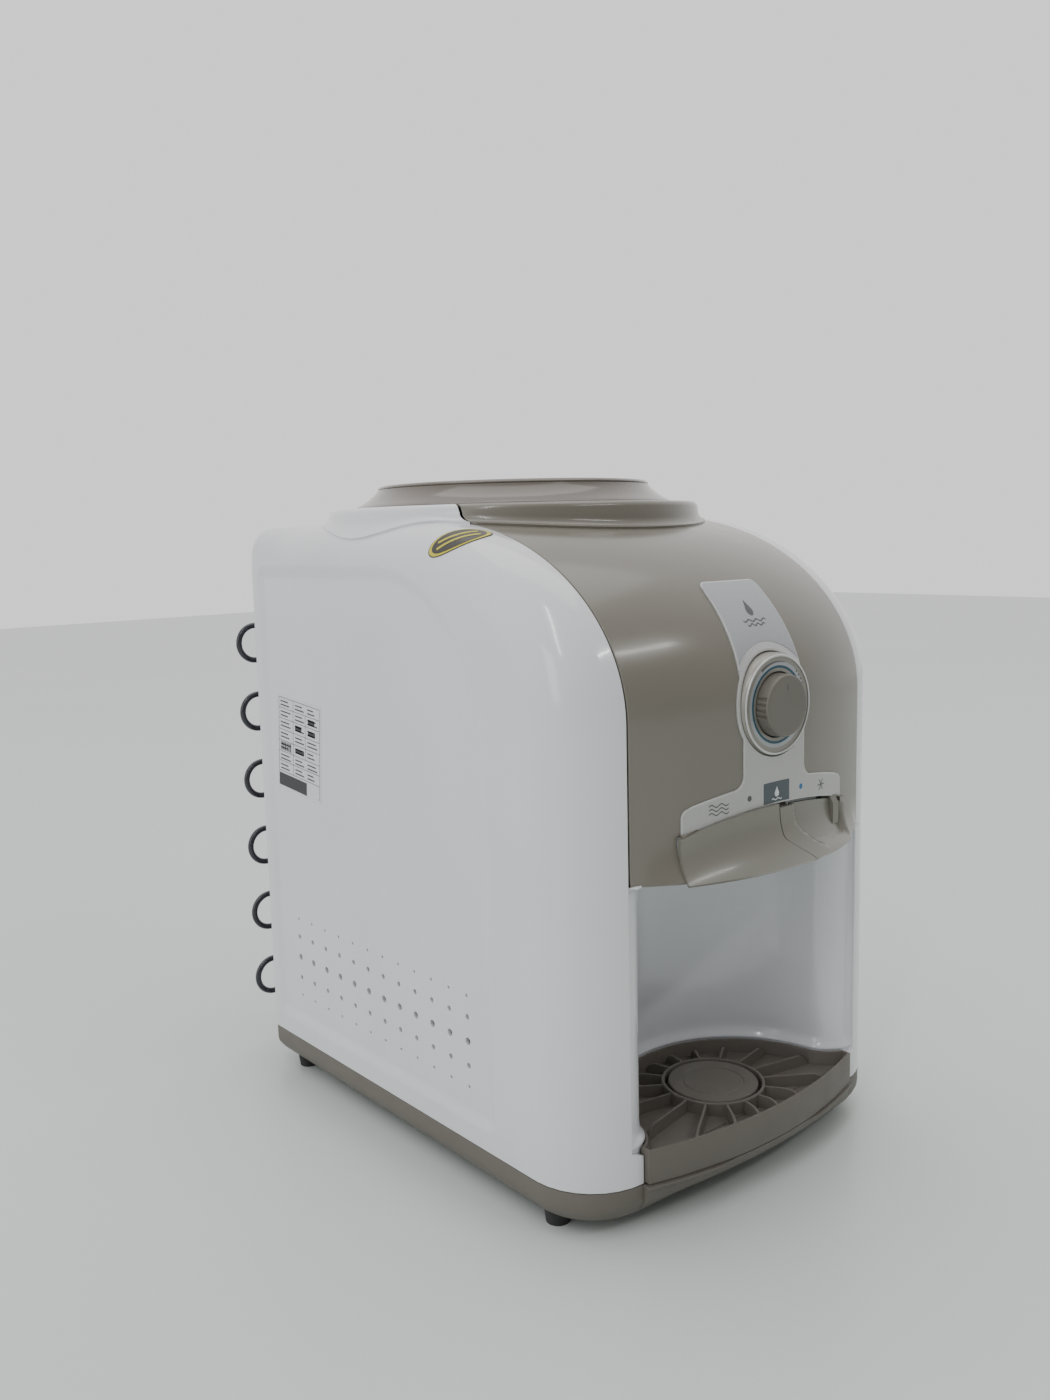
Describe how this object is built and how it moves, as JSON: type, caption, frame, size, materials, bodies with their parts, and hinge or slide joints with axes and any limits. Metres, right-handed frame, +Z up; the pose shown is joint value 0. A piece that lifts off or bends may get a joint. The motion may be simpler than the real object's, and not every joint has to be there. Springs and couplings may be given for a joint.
{
  "type": "countertop water dispenser",
  "caption": "Countertop bottled-water dispenser with a domed front, push levers over a round niche, a thermostat dial, a drip tray, a bottle collar and a rear condenser.",
  "frame": {"origin": "on the floor, under the middle of the whole machine's bounding box", "axes": "+X to the right seen from the front, +Y towards the condenser at the back, so -Y is the front, and +Z up"},
  "size_m": [0.31, 0.475, 0.479],
  "materials": {
    "white_gloss": "gloss moulded shell",
    "taupe_gloss": "gloss warm grey-brown",
    "taupe_matte": "fine-grained warm grey-brown",
    "silver_trim": "metallic silver lacquer",
    "slate_print": "printed dark slate and small marks",
    "blue_print": "printed dark blue-green with light outlines",
    "steel": "zinc-plated or stainless sheet",
    "white_plastic": "plain moulding",
    "clear_plastic": "milky food-grade moulding",
    "black_rubber": "soft black",
    "foam": "expanded foam",
    "copper": "drawn copper",
    "black_paint": "gloss black enamel",
    "black_plastic": "plain black",
    "label_white": "satin paper label with a ruled grid and no lettering",
    "label_dark": "dark oval with a yellow rim"
  },
  "bodies": {
    "cabinet": {"side_panel_left": "white_gloss", "side_panel_right": "white_gloss", "front_cover": "taupe_gloss", "front_trim": "silver_trim", "control_marks": "slate_print", "dial_bezel": "silver_trim", "dial_scale_ring": "blue_print", "thermostat_body": "steel", "thermostat_capillary": "copper", "lever_pins": "steel", "tap_bracket": "white_plastic", "tap_left": "white_plastic", "tap_right": "white_plastic", "spring_left": "steel", "spring_right": "steel", "niche_liner": "white_gloss", "base_pan": "taupe_matte", "feet": "black_rubber", "bottle_funnel": "clear_plastic", "feed_spike": "white_plastic", "tank_lid": "clear_plastic", "tank_seal": "black_rubber", "reservoir": "steel", "separator_baffle": "white_plastic", "evaporator_coil": "copper", "insulation_front": "foam", "insulation_rear": "foam", "hose_ambient": "clear_plastic", "hose_cold": "clear_plastic", "chassis_plate": "steel", "compressor": "black_paint", "compressor_cover": "black_plastic", "compressor_grommets": "black_rubber", "compressor_bolts": "steel", "discharge_line": "copper", "liquid_line": "copper", "suction_line": "copper", "filter_drier": "copper", "capillary_tube": "copper", "rear_panel": "steel", "condenser_tube": "black_paint", "condenser_wires": "black_paint", "condenser_brackets": "steel", "drain_pipe": "clear_plastic", "drain_cap": "white_plastic", "cord_gland": "black_rubber", "wiring_harness": "black_plastic", "rear_screws": "steel", "base_screws": "steel", "rating_label": "label_white", "oval_sticker": "label_dark"},
    "cap_ring": {"cap_ring": "taupe_gloss"},
    "lever_left": {"lever_left": "taupe_gloss"},
    "lever_right": {"lever_right": "taupe_gloss"},
    "stem_left": {"stem_left": "taupe_matte"},
    "stem_right": {"stem_right": "taupe_matte"},
    "knob": {"thermostat_knob": "taupe_matte", "thermostat_shaft": "steel"},
    "drip_tray": {"drip_tray": "taupe_matte"},
    "drip_insert": {"drip_insert": "taupe_matte"}
  },
  "joints": [
    {"name": "cap_lift", "type": "slide", "parent": "cabinet", "child": "cap_ring", "axis": [0, 0, 1], "range_m": [0, 0.06]},
    {"name": "lever_left_press", "type": "hinge", "parent": "cabinet", "child": "lever_left", "pos_m": [0, -0.198, 0.27], "axis": [1, 0, 0], "range_deg": [0, 8], "stiffness_Nm_per_rad": 1, "springref_deg": -11.46},
    {"name": "lever_right_press", "type": "hinge", "parent": "cabinet", "child": "lever_right", "pos_m": [0, -0.198, 0.27], "axis": [1, 0, 0], "range_deg": [0, 8], "stiffness_Nm_per_rad": 1, "springref_deg": -11.46},
    {"name": "stem_left_push", "type": "slide", "parent": "cabinet", "child": "stem_left", "axis": [0, 1, 0], "range_m": [0, 0.0048], "deforming": ["spring_left"]},
    {"name": "stem_right_push", "type": "slide", "parent": "cabinet", "child": "stem_right", "axis": [0, 1, 0], "range_m": [0, 0.0048], "deforming": ["spring_right"]},
    {"name": "knob_turn", "type": "hinge", "parent": "cabinet", "child": "knob", "pos_m": [0, -0.2168, 0.328], "axis": [0, -1, 0], "range_deg": [-135, 135]},
    {"name": "tray_pull", "type": "slide", "parent": "cabinet", "child": "drip_tray", "axis": [0, -1, 0], "range_m": [0, 0.12]},
    {"name": "insert_lift", "type": "slide", "parent": "drip_tray", "child": "drip_insert", "axis": [0, 0, 1], "range_m": [0, 0.05]}
  ],
  "couplings": [
    {"joint": "stem_left_push", "follows": "lever_left_press", "m_per_rad": 0.034},
    {"joint": "stem_right_push", "follows": "lever_right_press", "m_per_rad": 0.034}
  ]
}
